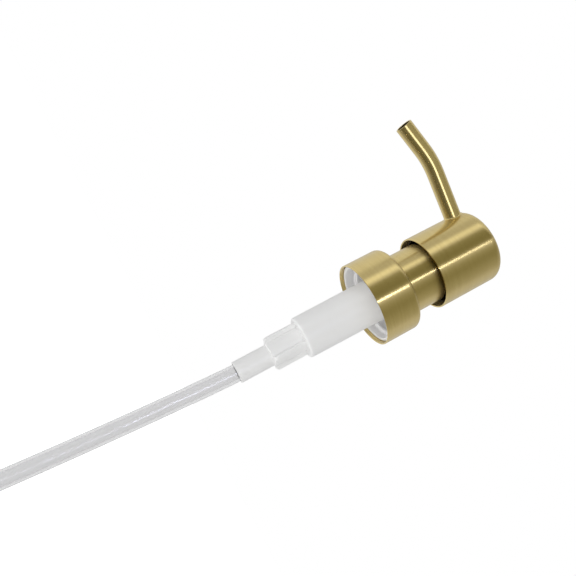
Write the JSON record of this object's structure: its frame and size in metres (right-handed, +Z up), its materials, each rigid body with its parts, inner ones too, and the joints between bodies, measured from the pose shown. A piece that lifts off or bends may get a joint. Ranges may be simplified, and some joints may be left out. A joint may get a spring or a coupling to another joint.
{
  "type": "soap pump dispenser",
  "caption": "Lotion and soap pump with a brushed brass push head, bent spout and stepped collar, a white threaded closure, a translucent piston barrel and a clear dip tube.",
  "frame": {"origin": "on the pump's axis at the underside of the gasket, where the lip of the bottle meets it", "axes": "+Z up along the pump's axis towards the head, +X along the spout"},
  "size_m": [0.0693, 0.032, 0.2179],
  "materials": {
    "brushed_brass": "fine brushed satin under clear lacquer",
    "white_plastic": "moulded, satin",
    "milky_plastic": "moulded translucent polypropylene, satin",
    "clear_plastic": "extruded clear polyethylene, smooth",
    "dark_plastic": "moulded, satin",
    "grey_foam": "foamed polyethylene, matt",
    "black_rubber": "soft, matt",
    "stainless_steel": "drawn wire, bright"
  },
  "bodies": {
    "pump_body": {"pump_housing": "milky_plastic", "gasket": "grey_foam", "stem_guide": "white_plastic", "stem_wiper": "black_rubber", "ball_cage": "white_plastic", "return_spring": "stainless_steel", "dip_tube": "clear_plastic"},
    "collar": {"collar_shell": "brushed_brass", "closure_insert": "white_plastic"},
    "plunger": {"upper_stem": "white_plastic", "piston_rod": "white_plastic"},
    "head": {"head_shell": "brushed_brass", "head_core": "dark_plastic", "spout_tube": "brushed_brass", "spout_seal": "black_rubber"},
    "piston": {"piston": "milky_plastic"},
    "inlet_ball": {"inlet_ball": "stainless_steel"}
  },
  "joints": [
    {"name": "collar_spin", "type": "hinge", "parent": "pump_body", "child": "collar", "pos_m": [0, 0, 0], "axis": [0, 0, 1], "continuous": true},
    {"name": "press", "type": "slide", "parent": "pump_body", "child": "plunger", "axis": [0, 0, -1], "range_m": [0, 0.011], "stiffness_N_per_m": 800, "springref_m": -0.01, "deforming": ["return_spring"]},
    {"name": "head_swivel", "type": "hinge", "parent": "plunger", "child": "head", "pos_m": [0, 0, 0.03], "axis": [0, 0, 1], "continuous": true},
    {"name": "piston_float", "type": "slide", "parent": "plunger", "child": "piston", "axis": [0, 0, 1], "range_m": [0, 0.0009]},
    {"name": "ball_lift", "type": "slide", "parent": "pump_body", "child": "inlet_ball", "axis": [0, 0, 1], "range_m": [0, 0.0015]}
  ]
}
